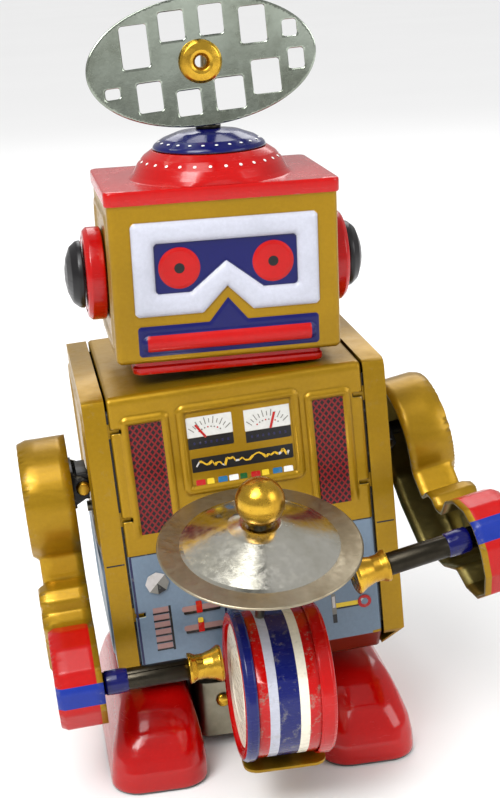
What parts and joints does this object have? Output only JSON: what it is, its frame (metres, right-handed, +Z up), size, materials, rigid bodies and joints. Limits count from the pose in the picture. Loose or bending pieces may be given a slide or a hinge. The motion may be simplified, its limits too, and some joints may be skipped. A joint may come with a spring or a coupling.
{
  "type": "wind-up tin toy",
  "caption": "Wind-up tin robot drummer with a rotating antenna, swinging arms with drumsticks, a side-struck drum and a cymbal.",
  "frame": {"origin": "under the middle of the bounding box, on the surface that the shoes stand on", "axes": "+Z up, front of the robot towards -Y, +X to the right of a person facing its front"},
  "size_m": [0.1254, 0.14, 0.2063],
  "materials": {
    "gold_litho_tin": "semi-gloss lithographed gold",
    "red_litho_tin": "gloss enamel",
    "blue_litho_tin": "gloss enamel",
    "black_enamel": "gloss enamel",
    "nickel_plate": "worn nickel plate",
    "brass": "polished, lightly tarnished",
    "dark_steel": "oiled dark steel",
    "bright_steel": "rolled steel"
  },
  "bodies": {
    "stand": {"pedestal": "bright_steel", "pedestal_rivet_left": "brass", "pedestal_rivet_right": "brass", "waist_pin": "bright_steel", "left_shoe": "red_litho_tin", "right_shoe": "red_litho_tin", "drum_bracket": "gold_litho_tin", "drum_shell": "red_litho_tin", "drum_head_left": "red_litho_tin", "drum_head_right": "red_litho_tin", "cymbal_post": "bright_steel", "cymbal_knob": "brass"},
    "cymbal": {"cymbal": "nickel_plate"},
    "torso": {"body_wrap": "gold_litho_tin", "left_side_cover": "gold_litho_tin", "right_side_cover": "gold_litho_tin", "bottom_plate": "bright_steel", "neck_saddle": "bright_steel", "front_plate": "bright_steel", "rear_plate": "bright_steel", "pillar_1": "bright_steel", "pillar_2": "bright_steel", "mainspring": "dark_steel"},
    "head": {"head_shell": "gold_litho_tin", "head_cap": "red_litho_tin", "head_dome": "blue_litho_tin", "neck_collar": "red_litho_tin", "left_ear_block": "red_litho_tin", "left_ear_dome": "black_enamel", "right_ear_block": "red_litho_tin", "right_ear_dome": "black_enamel"},
    "antenna": {"antenna_post": "bright_steel", "antenna_dish": "nickel_plate", "antenna_hub": "brass"},
    "drive": {"drive_shaft": "bright_steel"},
    "winder": {"winding_arbor": "bright_steel", "ratchet_wheel": "bright_steel", "winding_key": "bright_steel"},
    "great": {"great_wheel": "brass", "ratchet_click": "dark_steel"},
    "second": {"second_arbor": "bright_steel", "second_wheel": "brass", "crank_disc": "brass"},
    "third": {"third_arbor": "bright_steel", "third_wheel": "brass", "friction_disc": "bright_steel"},
    "governor": {"governor": "brass"},
    "rod": {"push_rod": "bright_steel"},
    "left_block": {"left_shoulder_block": "black_enamel"},
    "left_arm": {"left_arm_rivet": "brass", "left_arm_fork": "black_enamel", "left_arm_shell": "gold_litho_tin", "left_stick": "dark_steel", "left_stick_tip": "brass"},
    "right_block": {"right_shoulder_block": "black_enamel"},
    "right_arm": {"right_arm_rivet": "brass", "right_arm_fork": "black_enamel", "right_arm_shell": "gold_litho_tin", "right_stick": "dark_steel", "right_stick_tip": "brass"}
  },
  "joints": [
    {"name": "torso_rock", "type": "hinge", "parent": "stand", "child": "torso", "pos_m": [-0.00037, 0.01601, 0.024], "axis": [0, 1, 0], "range_deg": [0, 6.8]},
    {"name": "head_rock", "type": "hinge", "parent": "torso", "child": "head", "pos_m": [-0.00571, 0.01601, 0.11384], "axis": [0, 1, 0], "range_deg": [-6.8, 0]},
    {"name": "left_shoulder_turn", "type": "hinge", "parent": "torso", "child": "left_block", "pos_m": [-0.04567, 0.01001, 0.07831], "axis": [0.9982, 0, 0.0593], "range_deg": [-34.8, 5]},
    {"name": "right_shoulder_turn", "type": "hinge", "parent": "torso", "child": "right_block", "pos_m": [0.03818, 0.01001, 0.08329], "axis": [0.9982, 0, 0.0593], "range_deg": [-2, 34.8]},
    {"name": "left_arm_swing", "type": "hinge", "parent": "left_block", "child": "left_arm", "pos_m": [-0.04567, 0.01001, 0.07831], "axis": [0, 1, 0], "range_deg": [0, 8]},
    {"name": "right_arm_swing", "type": "hinge", "parent": "right_block", "child": "right_arm", "pos_m": [0.03818, 0.01001, 0.08329], "axis": [0.0338, 0.8211, -0.5697], "range_deg": [0, 8]},
    {"name": "push_rod_slide", "type": "slide", "parent": "torso", "child": "rod", "axis": [0.9982, 0, 0.0593], "range_m": [-0.00115, 0]},
    {"name": "great_turn", "type": "hinge", "parent": "torso", "child": "great", "pos_m": [-0.00203, 0.03501, 0.05195], "axis": [0, 1, 0], "continuous": true},
    {"name": "key_turn", "type": "hinge", "parent": "torso", "child": "winder", "pos_m": [-0.00203, 0.04601, 0.05195], "axis": [0, 1, 0], "continuous": true},
    {"name": "second_turn", "type": "hinge", "parent": "torso", "child": "second", "pos_m": [0.01054, 0.03501, 0.07239], "axis": [0, 1, 0], "continuous": true},
    {"name": "third_turn", "type": "hinge", "parent": "torso", "child": "third", "pos_m": [-0.00414, 0.03501, 0.0874], "axis": [0, 1, 0], "continuous": true},
    {"name": "governor_turn", "type": "hinge", "parent": "torso", "child": "governor", "pos_m": [0.00996, 0.02801, 0.09858], "axis": [0, 1, 0], "continuous": true},
    {"name": "drive_turn", "type": "hinge", "parent": "torso", "child": "drive", "pos_m": [-0.00488, 0.00731, 0.09987], "axis": [-0.0593, 0, 0.9982], "continuous": true},
    {"name": "antenna_turn", "type": "hinge", "parent": "head", "child": "antenna", "pos_m": [-0.00571, 0.00731, 0.15384], "axis": [0, 0, 1], "continuous": true},
    {"name": "cymbal_turn", "type": "hinge", "parent": "stand", "child": "cymbal", "pos_m": [-0.00577, -0.04499, 0.0767], "axis": [0, -0.225, 0.9744], "continuous": true}
  ],
  "couplings": [
    {"joint": "head_rock", "follows": "torso_rock", "ratio": -1},
    {"joint": "left_arm_swing", "follows": "torso_rock", "ratio": 1.1765},
    {"joint": "right_arm_swing", "follows": "torso_rock", "ratio": 1.1765},
    {"joint": "push_rod_slide", "follows": "torso_rock", "m_per_rad": -0.009412},
    {"joint": "second_turn", "follows": "great_turn", "ratio": -3},
    {"joint": "third_turn", "follows": "great_turn", "ratio": 7.5},
    {"joint": "governor_turn", "follows": "great_turn", "ratio": -15},
    {"joint": "drive_turn", "follows": "great_turn", "ratio": -11.25},
    {"joint": "antenna_turn", "follows": "great_turn", "ratio": -11.25}
  ]
}
